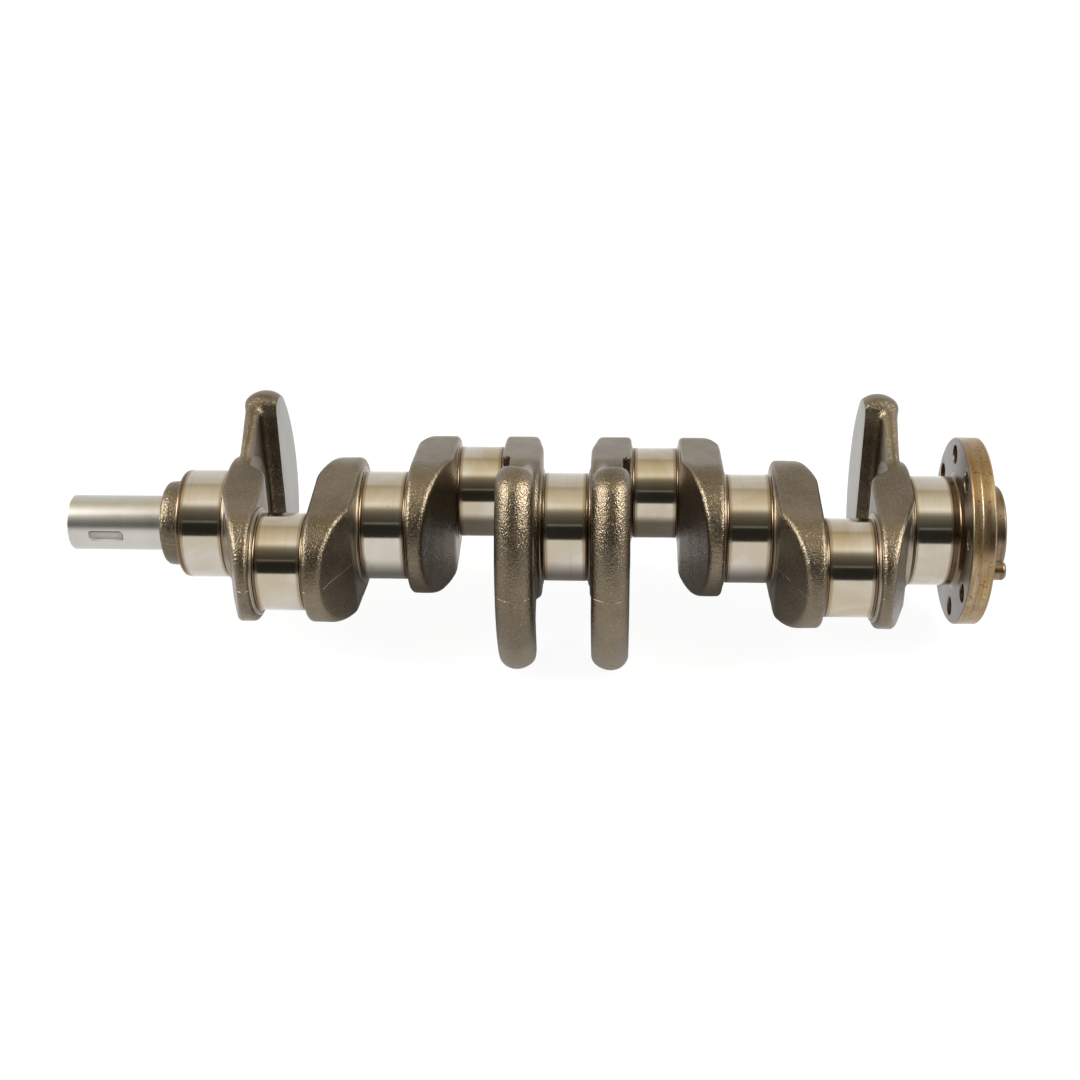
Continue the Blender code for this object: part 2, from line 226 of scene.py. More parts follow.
def rounded(corners, steps=4):
    """Outline of (x, radius, rounding) corners, with an arc where the rounding isn't zero."""
    points = [np.array(corners[0][:2], float)]
    for before, here, after in zip(corners, corners[1:], corners[2:]):
        corner = np.array(here[:2], float)
        if here[2] == 0.0:
            points.append(corner)
            continue
        back = np.array(before[:2], float) - corner
        ahead = np.array(after[:2], float) - corner
        back /= np.linalg.norm(back)
        ahead /= np.linalg.norm(ahead)
        half_angle = math.acos(np.clip(back @ ahead, -1, 1)) / 2
        length = here[2] / math.tan(half_angle)
        start, end = corner + back * length, corner + ahead * length
        centre = corner + (back + ahead) / np.linalg.norm(back + ahead) * here[2] / math.sin(half_angle)
        for step in range(steps + 1):
            part = step / steps
            ray = (start - centre) * (1 - part) + (end - centre) * part
            points.append(centre + ray / np.linalg.norm(ray) * here[2])
    points.append(np.array(corners[-1][:2], float))
    return points


def turned(profile, centre=(0.0, 0.0), segments=TURNS):
    """Points and faces of a closed turned solid.  The profile runs from the axis to the axis, or
    around in a loop where the solid has a bore right through."""
    points, faces, rings = [], [], []
    angles = 2 * math.pi * np.arange(segments) / segments
    for x, radius in profile:
        if radius < 1e-6:
            rings.append([len(points)] * segments)
            points.append((x, centre[0], centre[1]))
            continue
        rings.append(list(range(len(points), len(points) + segments)))
        points += [(x, centre[0] + radius * math.cos(a), centre[1] + radius * math.sin(a)) for a in angles]
    pairs = list(zip(rings, rings[1:]))
    if profile[0][1] > 1e-6:
        pairs.append((rings[-1], rings[0]))
    for first, second in pairs:
        for step in range(segments):
            after = (step + 1) % segments
            face = [first[step], first[after], second[after], second[step]]
            faces.append(list(dict.fromkeys(face)))
    return points, faces


def along_line(points, start, end):
    """Move a solid turned about the x axis so that its axis runs from start towards end."""
    start, end = Vector(start), Vector(end)
    turn = (end - start).to_track_quat("X", "Z")
    return [start + turn @ Vector(point) for point in points]


def cut(piece, cutter):
    """Cut one piece with another, which is used up."""
    modifier = piece.modifiers.new("cut", "BOOLEAN")
    modifier.operation = "DIFFERENCE"
    modifier.solver = "EXACT"
    modifier.object = cutter
    evaluated = piece.evaluated_get(bpy.context.evaluated_depsgraph_get())
    result = bpy.data.meshes.new_from_object(evaluated)
    piece.modifiers.clear()
    piece.data = result
    bpy.data.objects.remove(cutter)


def drill(piece, start, end, radius, flare, flare_at):
    """A straight hole.  flare_at lists its small countersinks, each as the distance along the hole
    and 1 where it opens towards the hole's end, or -1 towards its start."""
    length = (Vector(end) - Vector(start)).length
    profile = [(0.0, 0.0), (0.0, radius)]
    past = 0.5              # the countersink's cone goes on this far outside the metal
    spread = radius + flare + past
    for distance, way in flare_at:
        wide = distance + past * way
        cone = [(distance - flare * way, radius), (wide, spread), (wide + 0.01 * way, radius)]
        profile += cone[::way]
    profile += [(length, radius), (length, 0.0)]
    points, faces = turned(profile, segments=40)
    cutter = make_piece("cutter", along_line(points, start, end), faces, [])
    cut(piece, cutter)


def roughen(piece, size, amount, skin, limit):
    """Push a turned forging in and out by a little smooth noise, outside the skin's radius and not
    past the limit's.  Both radii are in metres."""
    normals = [vertex.normal.copy() for vertex in piece.data.vertices]
    for vertex, normal in zip(piece.data.vertices, normals):
        if math.hypot(vertex.co.y, vertex.co.z) <= skin:
            continue
        push = noise.noise(vertex.co / (size * MM)) + 0.5 * noise.noise(vertex.co / (size * MM / 2.3))
        vertex.co += normal * push * amount * MM
        shrink = min(1.0, limit / math.hypot(vertex.co.y, vertex.co.z))
        vertex.co.y *= shrink
        vertex.co.z *= shrink


def store(piece, name, values):
    """Keep one number for each vertex, for the materials to read."""
    layer = piece.data.attributes.new(name, "FLOAT", "POINT")
    layer.data.foreach_set("value", np.asarray(values, np.float32))


def shaft_points(piece):
    """A piece's points in millimetres along the shaft."""
    flat = np.empty(len(piece.data.vertices) * 3, np.float32)
    piece.data.vertices.foreach_get("co", flat)
    return flat.reshape(-1, 3) / MM - (MIDDLE, 0.0, 0.0)


# ---- Fields of signed distance ----
def melt(a, b, reach):
    """Union with a concave blend."""
    part = np.clip(0.5 + 0.5 * (b - a) / reach, 0.0, 1.0)
    return b + (a - b) * part - reach * part * (1.0 - part)


def ridge(a, b, reach):
    """Intersection with a soft ridge, for two faces that meet at a blunt angle."""
    return -melt(-a, -b, reach)


def rounded_edge(a, b, radius):
    """Intersection with a round edge."""
    inside = np.minimum(np.maximum(a, b), -radius)
    return inside + np.hypot(np.maximum(a + radius, 0.0), np.maximum(b + radius, 0.0))


def two_lobes(reach, side, main_lobe):
    """Distance to the outline around both axes of a web."""
    across = np.abs(side)
    lean = (main_lobe - PIN_LOBE_R) / THROW
    upright = math.sqrt(1.0 - lean * lean)
    along = -lean * across + upright * reach
    flank = upright * across + lean * reach - main_lobe
    main_end = np.hypot(reach, side) - main_lobe
    pin_end = np.hypot(reach - THROW, side) - PIN_LOBE_R
    return np.where(along < 0, main_end, np.where(along > upright * THROW, pin_end, flank))


def sloped_face(flat, start, far, way, reach, depth, end):
    """Distance to a face that is flat and then slopes away into the web."""
    slope = (far - flat) / (end - start)
    height = flat - depth
    sloped = (height + (way * reach - start) * slope) / math.hypot(1.0, slope)
    return ridge(height, sloped, FORGED_RIDGE)


def body_field(shape, depth, reach, side):
    main_lobe, main_side, pin_side_face = WEB_SHAPES[shape]
    main_face = sloped_face(*main_side, 1, reach, depth, THROW + PIN_LOBE_R)
    flat, start, far = pin_side_face
    pin_face = sloped_face(flat, -start, far, -1, reach, WEB_WIDTH - depth, main_lobe)
    outline = two_lobes(reach, side, main_lobe)
    return rounded_edge(rounded_edge(outline, main_face, FORGED_EDGE), pin_face, FORGED_EDGE)


def fan_outline(reach, side):
    """Counterweight's outline: an arc about the main axis with two round tips, down to the hub."""
    spread = WEIGHT_CORNER + math.acos((HUB_R - WEIGHT_CORNER_R) / (WEIGHT_R - WEIGHT_CORNER_R))
    flank = -reach * math.cos(spread) + np.abs(side) * math.sin(spread) - HUB_R
    return rounded_edge(np.hypot(reach, side) - WEIGHT_R, flank, WEIGHT_CORNER_R)


def fan_field(shape, depth, reach, side):
    """Counterweight and neck, before the counterweight's face is cut flat."""
    main_side, far_side, stock, nose_main, nose_pin, neck_deeper = WEIGHTS[shape]
    outline = fan_outline(reach, side)
    towards_hub = np.clip((NECK_RIM - np.hypot(reach, side)) / (NECK_RIM - HUB_R), 0.0, 1.0)
    main_face = main_side + neck_deeper * towards_hub - depth
    half_nose = rounded_edge(outline, main_face, nose_main)
    nose = rounded_edge(half_nose, depth - far_side - stock, nose_pin)
    weight = np.maximum(nose, rounded_edge(half_nose, reach + WEIGHT_STEP, PAD_CORNER))
    inset = NECK_INSET + NECK_INSET_OUT * (1.0 - towards_hub)
    neck = rounded_edge(outline + inset, main_face + 0.5, NECK_EDGE)
    neck = rounded_edge(neck, depth - NECK_FACE, NECK_EDGE)
    neck = np.maximum(neck, reach - HUB_R / 3)
    return melt(neck, weight, NECK_MELT)


def cheek_cut(shape, depth, reach, side):
    """Below zero in the metal that is turned away beside a crankpin's thrust ring."""
    from_pin = np.hypot(reach - THROW, side)
    ring_shaped = np.maximum(from_pin - CHEEK_CUT_R, CHEEK_HUB_R - from_pin)
    end_slope = CHEEK_END_SLOPE * (depth - CHEEKS["end"])
    end = (reach - CHEEK_END - end_slope) / math.hypot(1.0, CHEEK_END_SLOPE)
    return np.maximum.reduce([CHEEKS[shape] - depth, ring_shaped, end])


def forging_field(shape, depth, reach, side):
    """A web as it comes out of the forge."""
    body = body_field(shape, depth, reach, side)
    waves = np.sin(reach * 0.31 + side * 0.17) * np.sin(side * 0.27 - depth * 0.4 + 1.0)
    if shape == "plain":
        return body - 0.07 * waves
    return melt(body, fan_field(shape, depth, reach, side), HUB_MELT) - 0.04 * waves


def web_field(shape, depth, reach, side):
    forging = forging_field(shape, depth, reach, side)
    if shape == "plain":
        return forging
    return np.maximum(forging, -cheek_cut(shape, depth, reach, side))


def machined_share(shape, depth, reach, side):
    """Above zero where the cut has left bright metal: beside the crankpin, well below the skin."""
    if shape != "end":
        return np.full_like(depth, -1.0)
    below = -BRIGHT_BELOW - forging_field(shape, depth, reach, side)
    return np.minimum(below, BRIGHT_WITHIN - np.hypot(reach - THROW, side))


def surface_net(field, low, high, cell):
    """Points and quads on the surface where a field is zero: one point in each cell it crosses."""
    low = np.array(low, float)
    counts = np.ceil((np.array(high) - low) / cell).astype(int) + 1
    value = field(*np.meshgrid(*[low[a] + cell * np.arange(counts[a]) for a in range(3)], indexing="ij"))
    inside = value < 0
    cells = counts - 1
    corner = np.meshgrid(*[np.arange(n) for n in cells], indexing="ij")
    total = np.zeros((3, *cells))
    hits = np.zeros(cells)
    crossings = []
    for axis in range(3):
        head = tuple(slice(0, -1) if a == axis else slice(None) for a in range(3))
        tail = tuple(slice(1, None) if a == axis else slice(None) for a in range(3))
        crossing = inside[head] != inside[tail]
        gap = np.where(crossing, value[head] - value[tail], 1.0)
        part = np.where(crossing, value[head] / gap, 0.0)
        crossings.append(crossing)
        u, v = [a for a in range(3) if a != axis]
        for du in (0, 1):
            for dv in (0, 1):
                window = [slice(None)] * 3
                window[u] = slice(du, du + cells[u])
                window[v] = slice(dv, dv + cells[v])
                met = crossing[tuple(window)]
                total[axis] += met * (corner[axis] + part[tuple(window)])
                total[u] += met * (corner[u] + du)
                total[v] += met * (corner[v] + dv)
                hits += met
    used = hits > 0
    number = np.full(cells, -1)
    number[used] = np.arange(used.sum())
    points = low + cell * (total[:, used] / hits[used]).T
    quads = []
    for axis, crossing in enumerate(crossings):
        u, v = (axis + 1) % 3, (axis + 2) % 3
        where = np.argwhere(crossing)
        ring = []
        for du, dv in ((-1, -1), (0, -1), (0, 0), (-1, 0)):
            near = where.copy()
            near[:, u] += du
            near[:, v] += dv
            ring.append(number[tuple(near.T)])
        ring = np.stack(ring, 1)
        outward = ~inside[tuple(where.T)]
        ring[outward] = ring[outward][:, ::-1]
        quads.append(ring)
    return points, np.concatenate(quads)


def settle(field, points, cell):
    """Slide the points onto the surface."""
    step = 0.02
    for _ in range(4):
        slope = []
        for axis in range(3):
            shift = np.zeros(3)
            shift[axis] = step
            slope.append((field(*(points + shift).T) - field(*(points - shift).T)) / (2 * step))
        slope = np.stack(slope, 1)
        push = field(*points.T) / np.maximum((slope ** 2).sum(1), 0.3)
        points = points - slope * np.clip(push, -cell / 3, cell / 3)[:, None]
    return points


# ---- Materials ----
class Wiring:
    """Short ways to wire procedural nodes in a material's or the world's node tree."""

    def __init__(self, owner, coordinates):
        owner.use_nodes = True
        self.tree = owner.node_tree
        self.place = self.node("ShaderNodeTexCoord").outputs[coordinates]

    def node(self, kind, **settings):
        made = self.tree.nodes.new(kind)
        for key, value in settings.items():
            setattr(made, key, value)
        return made

    def link(self, socket, value):
        if isinstance(value, bpy.types.NodeSocket):
            self.tree.links.new(value, socket)
        else:
            socket.default_value = value

    def math(self, operation, a, b=0.0, c=0.0):
        made = self.node("ShaderNodeMath", operation=operation)
        for socket, value in zip(made.inputs, (a, b, c)):
            self.link(socket, value)
        return made.outputs[0]

    def axis(self, number):
        split = self.node("ShaderNodeSeparateXYZ")
        self.link(split.inputs[0], self.place)
        return split.outputs[number]

    def ramp(self, value, low, high, to_low=0.0, to_high=1.0):
        made = self.node("ShaderNodeMapRange", interpolation_type="SMOOTHSTEP")
        for key, item in (("Value", value), ("From Min", low), ("From Max", high),
                          ("To Min", to_low), ("To Max", to_high)):
            self.link(made.inputs[key], item)
        return made.outputs[0]


class Shader(Wiring):
    """A Principled material."""

    def __init__(self, name):
        self.material = bpy.data.materials.new(name)
        super().__init__(self.material, "Object")
        self.bsdf = self.tree.nodes["Principled BSDF"]

    def stretched(self, scale):
        made = self.node("ShaderNodeMapping")
        self.link(made.inputs["Vector"], self.place)
        made.inputs["Scale"].default_value = scale
        return made.outputs[0]

    def noise(self, scale, detail=2.0, rough=0.5, stretch=None, twist=0.0):
        made = self.node("ShaderNodeTexNoise")
        self.link(made.inputs["Vector"], self.stretched(stretch) if stretch else self.place)
        for key, value in (("Scale", scale), ("Detail", detail), ("Roughness", rough), ("Distortion", twist)):
            made.inputs[key].default_value = value
        return made.outputs[0]

    def mix(self, share, a, b):
        made = self.node("ShaderNodeMix", data_type="RGBA")
        self.link(made.inputs[0], share)
        for socket, value in ((made.inputs[6], a), (made.inputs[7], b)):
            self.link(socket, (*value, 1.0) if isinstance(value, tuple) else value)
        return made.outputs[2]

    def attribute(self, name):
        return self.node("ShaderNodeAttribute", attribute_name=name).outputs["Fac"]

    def bump(self, height, distance, strength=1.0, before=None):
        made = self.node("ShaderNodeBump")
        self.link(made.inputs["Strength"], strength)
        made.inputs["Distance"].default_value = distance
        self.link(made.inputs["Height"], height)
        if before is not None:
            self.link(made.inputs["Normal"], before)
        return made.outputs[0]

    def finish(self, colour, roughness, normal, metallic=1.0):
        for key, value in (("Base Color", colour), ("Roughness", roughness), ("Metallic", metallic),
                           ("Normal", normal)):
            self.link(self.bsdf.inputs[key], value)
        return self.material


def parting_line(make):
    """1 along the forging's parting line, in the throw plane, and 0 away from it."""
    height = make.math("ADD", make.axis(2), 0.0012)
    wander = make.math("MULTIPLY_ADD", make.noise(60.0), 0.0016, -0.0008)
    distance = make.math("ABSOLUTE", make.math("ADD", height, wander))
    line = make.ramp(distance, 0.00015, 0.0005, 1.0, 0.0)
    broken = make.ramp(make.noise(90.0, 1.0), 0.40, 0.55)
    return make.math("MULTIPLY", line, broken)


def forged_steel(name):
    """Shot-blasted, oiled forging skin, with the bright cheek cut where the mesh says so."""
    make = Shader(name)
    cloud = make.noise(28.0, 4.0, 0.6)
    blotch = make.noise(110.0, 3.0, 0.6, twist=0.6)
    grain = make.noise(1150.0, 1.0, 0.5)
    coarse = make.noise(600.0, 2.0, 0.55)
    colour = make.mix(make.ramp(cloud, 0.32, 0.68), (0.130, 0.103, 0.070), (0.195, 0.157, 0.109))
    colour = make.mix(make.ramp(blotch, 0.52, 0.75, 0.0, 0.45), colour, (0.175, 0.125, 0.073))
    colour = make.mix(make.ramp(grain, 0.52, 0.72, 0.0, 0.35), colour, (0.33, 0.28, 0.205))
    pits = make.ramp(coarse, 0.30, 0.20, 0.0, 0.6)
    colour = make.mix(pits, colour, (0.07, 0.055, 0.038))
    line = parting_line(make)
    colour = make.mix(make.math("MULTIPLY", line, 0.45), colour, (0.30, 0.26, 0.20))
    roughness = make.math("MULTIPLY_ADD", blotch, 0.12, 0.27)
    bare = make.ramp(make.attribute("machined"), -0.08, 0.08)
    feed = make.noise(1.0, 2.0, 0.5, stretch=(60.0, 60.0, 2600.0))
    bright = make.mix(feed, (0.50, 0.49, 0.47), (0.62, 0.61, 0.585))
    colour = make.mix(bare, colour, bright)
    roughness = make.math("ADD", roughness, make.math("MULTIPLY", bare, 0.10))
    skin = make.math("SUBTRACT", 1.0, bare)
    normal = make.bump(grain, 0.00040, make.math("MULTIPLY", skin, 0.85))
    normal = make.bump(coarse, 0.00040, make.math("MULTIPLY", skin, 0.26), normal)
    normal = make.bump(line, 0.00030, make.math("MULTIPLY", skin, 0.8), normal)
    return make.finish(colour, roughness, normal)


def machined_steel():
    """Milled counterweight faces: light matt grey with faint cutter marks."""
    make = Shader("machined_faces")
    sweep = make.noise(1.0, 3.0, 0.6, stretch=(40.0, 420.0, 60.0))
    fine = make.noise(1.0, 2.0, 0.5, stretch=(100.0, 3200.0, 700.0))
    cloud = make.noise(30.0, 3.0, 0.6)
    colour = make.mix(make.ramp(sweep, 0.3, 0.7), (0.28, 0.275, 0.265), (0.35, 0.34, 0.325))
    colour = make.mix(make.ramp(cloud, 0.55, 0.8, 0.0, 0.4), colour, (0.31, 0.29, 0.255))
    roughness = make.math("MULTIPLY_ADD", sweep, 0.16, 0.40)
    return make.finish(colour, roughness, make.bump(fine, 0.00006, 0.5))


def ground_steel(name, straw):
    """Ground journal: mirror-like with fine rings around it, more or less straw-coloured, with
    brown stains by its two edges, a dark line along them and brown fillets beyond."""
    make = Shader(name)
    rings = make.noise(1.0, 3.0, 0.6, stretch=(5200.0, 60.0, 60.0))
    wide = make.noise(1.0, 2.0, 0.5, stretch=(900.0, 14.0, 14.0))
    cloud = make.noise(24.0, 3.0, 0.6, twist=0.8)
    fleck = make.noise(420.0, 1.0, 0.5)
    clean = (0.53, 0.495, 0.44)
    warm = (0.50 - 0.05 * straw, 0.455 - 0.09 * straw, 0.385 - 0.15 * straw)
    colour = make.mix(make.ramp(cloud, 0.38, 0.62), clean, warm)
    colour = make.mix(make.ramp(wide, 0.55, 0.8, 0.0, 0.35), colour, (0.42, 0.36, 0.27))
    across = make.math("ABSOLUTE", make.attribute("across"))
    wavy = make.math("ADD", across, make.math("MULTIPLY_ADD", cloud, 0.10, -0.05))
    stain = make.ramp(wavy, 0.79, 0.93, 0.0, 0.75)
    colour = make.mix(stain, colour, (0.27, 0.195, 0.115))
    edge = make.ramp(across, 0.970, 0.985, 0.0, 0.9)
    colour = make.mix(edge, colour, (0.09, 0.062, 0.04))
    beyond = make.ramp(across, 1.03, 1.07, 0.0, 0.8)
    colour = make.mix(beyond, colour, (0.17, 0.115, 0.068))
    speck = make.ramp(fleck, 0.24, 0.18, 0.0, 0.6)
    colour = make.mix(speck, colour, (0.22, 0.17, 0.11))
    roughness = make.math("MULTIPLY_ADD", rings, 0.10, 0.065)
    roughness = make.math("ADD", roughness, make.math("MULTIPLY", stain, 0.16))
    return make.finish(colour, roughness, make.bump(rings, 0.00002, 0.35))


def turned_steel(name, colour_a, colour_b, rough, lines=2600.0, dull_below=0.0, shade_at=(0.0, 0.0, 0.0)):
    """Lathe-turned metal with fine feed marks around it, dull where it is sunk below a radius.
    The last argument's three values say where what is sunk is also painted dark, a painted
    shadow: only behind the first x, and there behind the second x or above the height."""
    make = Shader(name)
    rings = make.noise(1.0, 3.0, 0.6, stretch=(lines, 40.0, 40.0))
    cloud = make.noise(36.0, 3.0, 0.6, twist=0.5)
    fleck = make.noise(300.0, 2.0, 0.5)
    colour = make.mix(make.ramp(cloud, 0.35, 0.65), colour_a, colour_b)
    dark = tuple(0.45 * part for part in colour_b)
    colour = make.mix(make.ramp(fleck, 0.28, 0.20, 0.0, 0.6), colour, dark)
    roughness = make.math("MULTIPLY_ADD", rings, 0.14, rough)
    radius = make.math("SQRT", make.math("MULTIPLY_ADD", make.axis(1), make.axis(1),
                                         make.math("POWER", make.axis(2), 2.0)))
    sunk = make.ramp(radius, (dull_below - 0.1) * MM, dull_below * MM, 1.0, 0.0)
    colour = make.mix(sunk, colour, (0.62, 0.59, 0.54))
    begin, end, height = (part * MM for part in shade_at)
    above = make.ramp(make.axis(2), height, height + 0.15 * MM)
    behind = make.ramp(make.axis(0), end, end + 0.15 * MM)
    within = make.ramp(make.axis(0), begin, begin + 1e-6)
    # painted shadow where sunk metal lies under the keyway's upper wall or by its rear end
    painted_shade = make.math("MULTIPLY", make.math("MAXIMUM", above, behind), within)
    painted_shade = make.math("MULTIPLY", make.math("MULTIPLY", sunk, painted_shade), 0.9)
    colour = make.mix(painted_shade, colour, (0.05, 0.04, 0.03))
    roughness = make.math("MAXIMUM", roughness, make.math("MULTIPLY", sunk, 0.55))
    metallic = make.math("MULTIPLY_ADD", sunk, -0.8, 1.0)
    return make.finish(colour, roughness, make.bump(rings, 0.00003, 0.3), metallic)


def stained_rim(name, straw, rust, grey, front_at=-1.0):
    """Turned steel gone gold and rusty in bands and patches, and dull grey on the face whose x is
    front_at, in metres."""
    make = Shader(name)
    rings = make.noise(1.0, 3.0, 0.6, stretch=(2400.0, 30.0, 30.0))
    bands = make.noise(1.0, 3.0, 0.6, stretch=(420.0, 22.0, 22.0))
    cloud = make.noise(1.0, 4.0, 0.6, stretch=(110.0, 30.0, 30.0))
    pits = make.noise(640.0, 2.0, 0.6)
    colour = make.mix(make.ramp(cloud, 0.30, 0.70), grey, straw)
    patches = make.noise(34.0, 3.0, 0.6, twist=0.8)
    colour = make.mix(make.ramp(patches, 0.46, 0.60, 0.0, 0.6), colour, rust)
    colour = make.mix(make.ramp(bands, 0.46, 0.58, 0.0, 0.80), colour, rust)
    colour = make.mix(make.ramp(pits, 0.42, 0.30, 0.0, 0.80), colour, (0.10, 0.062, 0.03))
    front = make.ramp(make.axis(0), front_at + 0.0002, front_at + 0.0006, 1.0, 0.0)
    colour = make.mix(front, colour, (0.155, 0.135, 0.12))
    roughness = make.math("MULTIPLY_ADD", cloud, 0.22, 0.20)
    normal = make.bump(rings, 0.00004, 0.4)
    normal = make.bump(pits, 0.00012, 0.35, normal)
    return make.finish(colour, roughness, normal)


FORGED = forged_steel("forged_skin")
MACHINED = machined_steel()
GROUND_MAIN = ground_steel("ground_main", 0.35)
GROUND_PIN = ground_steel("ground_pin", 0.6)
RING = turned_steel("turned_ring", (0.34, 0.295, 0.235), (0.22, 0.175, 0.125), 0.24)
# Painted shadow in the snout's keyway: where it starts, where the shadow by its rear end starts, and the
# height above which it lies
KEYWAY_SHADE = (MIDDLE + KEYWAY_FRONT, MIDDLE + KEYWAY_FRONT + KEYWAY_LENGTH - KEYWAY_SHADE_END,
              KEYWAY_SHADE_ABOVE)
SNOUT = turned_steel("turned_snout", (0.53, 0.51, 0.475), (0.49, 0.47, 0.43), 0.25, 1500.0,
                     SNOUT_R - 0.15, KEYWAY_SHADE)
FLANGE = stained_rim("stained_flange", (0.40, 0.285, 0.125), (0.26, 0.16, 0.07), (0.35, 0.295, 0.215),
                     (FLANGE_FRONT + MIDDLE) * MM)
BOSS = stained_rim("stained_boss", (0.25, 0.19, 0.12), (0.17, 0.11, 0.06), (0.27, 0.235, 0.19))


# ---- Journals ----
def fillet_out(edge, radius, way):
    """Rolled fillet from a ground edge out to the thrust ring's face: (x, radius) points."""
    points = [(edge - way * 0.18, radius)]
    centre = radius + FILLET - UNDERCUT
    for step in range(7):
        angle = math.pi / 2 * step / 6
        points.append((edge + way * FILLET * math.sin(angle), centre - FILLET * math.cos(angle)))
    inner = edge + way * (FILLET + 0.6)
    points += [(inner, centre), (inner, 0.0)]
    return points


def journal(node, centre, half, radius, centre_y, material, front=None, rear=None):
    """A ground journal; front and rear stand for its own ends where it isn't between two webs.
    Returns the piece, and the middle and half width of its ground surface."""
    start = front[-1][0] if front else centre - half
    end = rear[0][0] if rear else centre + half
    profile = front if front else fillet_out(start, radius, -1)[::-1]
    profile = profile + [((start + end) / 2, radius)]
    profile = profile + (rear if rear else fillet_out(end, radius, 1))
    piece = make_piece(node + "_ground", *turned(profile, (centre_y, 0.0)), [material])
    return piece, (start + end) / 2, (end - start) / 2


def add_oil_holes(pieces):
    """A drilling's two mouths: one in each crankpin and one in the main journal that feeds it."""
    for pin_number, main_number in OIL_LINES.items():
        way = pin_side(pin_number)
        out = Vector((0.0, way * math.cos(OIL_EXIT), way * math.sin(OIL_EXIT)))
        mouth = Vector((pin_x(pin_number), way * THROW, 0.0)) + out * PIN_R
        entry = Vector((main_x(main_number), 0.0, 0.0)) - out * MAIN_R
        along = (mouth - entry).normalized()
        for node, hole, way_in in (("crankpin_%d" % pin_number, mouth, -1),
                                   ("main_journal_%d" % main_number, entry, 1)):
            outside = 4.0
            inwards = way_in * along
            drill(pieces[node], hole - outside * inwards, hole + OIL_DEPTH * inwards, OIL_R, 0.7,
                  [(outside, -1)])


def journals():
    made = {}
    shoulder = rounded([
        (MAIN_1_FRONT - 0.3, 0.0, 0.0), (MAIN_1_FRONT - 0.3, MAIN_R - 4.8, 0.0),
        (MAIN_1_FRONT, MAIN_R - 4.8, 0.0), (MAIN_1_FRONT, MAIN_R - 0.35, 1.7),
        (MAIN_1_FRONT + 2.4, MAIN_R - 0.25, 0.0), (MAIN_1_FRONT + 2.7, MAIN_R, 0.0),
    ], 6)
    land = FLANGE_FRONT - 5.0
    seal_land = rounded([
        (land, MAIN_R, 0.0), (land + 0.25, MAIN_R - 0.3, 0.0), (land + 3.4, MAIN_R - 0.3, 1.6),
        (land + 5.2, MAIN_R + 2.2, 0.0), (land + 5.2, 0.0, 0.0),
    ], 6)
    for number in range(1, 6):
        node = "main_journal_%d" % number
        made[node] = journal(node, main_x(number), MAIN_HALF, MAIN_R, 0.0, GROUND_MAIN,
                             front=shoulder if number == 1 else None,
                             rear=seal_land if number == 5 else None)
    for number in range(1, 5):
        node = "crankpin_%d" % number
        made[node] = journal(node, pin_x(number), PIN_HALF, PIN_R, pin_side(number) * THROW, GROUND_PIN)
    add_oil_holes({node: row[0] for node, row in made.items()})
    for node, (piece, centre, half) in made.items():
        tidy_normals(piece, 20.0)
        store(piece, "across", (shaft_points(piece)[:, 0] - centre) / half)
        finish_piece(piece, node)


# ---- Webs ----
def cut_weight_face(edit, depth):
    """Mill the counterweight's face flat; returns the new faces."""
    thick_from = -WEIGHT_STEP + 4.0
    near = [vertex for vertex in edit.verts if vertex.co.y < thick_from]
    geometry = {}           # a dict, because it keeps its order from run to run
    for vertex in near:
        geometry.update(dict.fromkeys([vertex, *vertex.link_edges, *vertex.link_faces]))
    bmesh.ops.bisect_plane(edit, geom=list(geometry), dist=1e-5, plane_co=(depth, 0, 0), plane_no=(1, 0, 0))
    gone = [v for v in edit.verts if v.co.x > depth + 1e-4 and v.co.y < thick_from]
    bmesh.ops.delete(edit, geom=gone, context="VERTS")
    border = [edge for edge in edit.edges if edge.is_boundary]
    return bmesh.ops.triangle_fill(edit, use_beauty=True, use_dissolve=False, edges=border,
                                   normal=(1, 0, 0))["geom"]


def web_mesh(shape):
    """(points, faces, slot of each face) of one kind of web, in its own directions."""
    def field(depth, reach, side):
        return web_field(shape, depth, reach, side)

    low_reach = -WEIGHT_R if shape in WEIGHTS else -WEB_SHAPES[shape][0]
    half_side = WEIGHT_HALF if shape in WEIGHTS else WEB_SHAPES[shape][0] + 2.0
    points, quads = surface_net(field, (-1.5, low_reach - 2.0, -half_side),
                                (WEB_WIDTH + 2.0, THROW + PIN_LOBE_R + 2.0, half_side), WEB_CELL)
    points = settle(field, points, WEB_CELL)
    if shape not in WEIGHTS:
        return points, quads.tolist(), [0] * len(quads)
    edit = bmesh.new()
    corners = [edit.verts.new(point) for point in points]
    for quad in quads.tolist():
        edit.faces.new([corners[index] for index in quad])
    filled = {face for face in cut_weight_face(edit, WEIGHTS[shape][1])
              if isinstance(face, bmesh.types.BMFace)}
    edit.verts.index_update()
    points = np.array([vertex.co[:] for vertex in edit.verts])
    faces = [[vertex.index for vertex in face.verts] for face in edit.faces]
    slots = [1 if face in filled else 0 for face in edit.faces]
    edit.free()
    return points, faces, slots


def thrust_ring(radius, over, edge):
    """Turned ring around a journal.  Its face is at a depth of edge and its metal runs deeper."""
    top = radius + over
    inner = edge + RING_DEPTH
    return rounded([
        (edge + 0.4, radius - 1.5, 0.0), (edge, radius + 0.6, 0.0), (edge, top - 0.9, 0.0),
        (edge + 0.25, top - 0.7, 0.0), (edge + 0.5, top, 0.45), (edge + 1.6, top, 0.4),
        (inner, top + 0.8, 0.0), (inner, radius - 1.5, 0.0),
    ], 3)


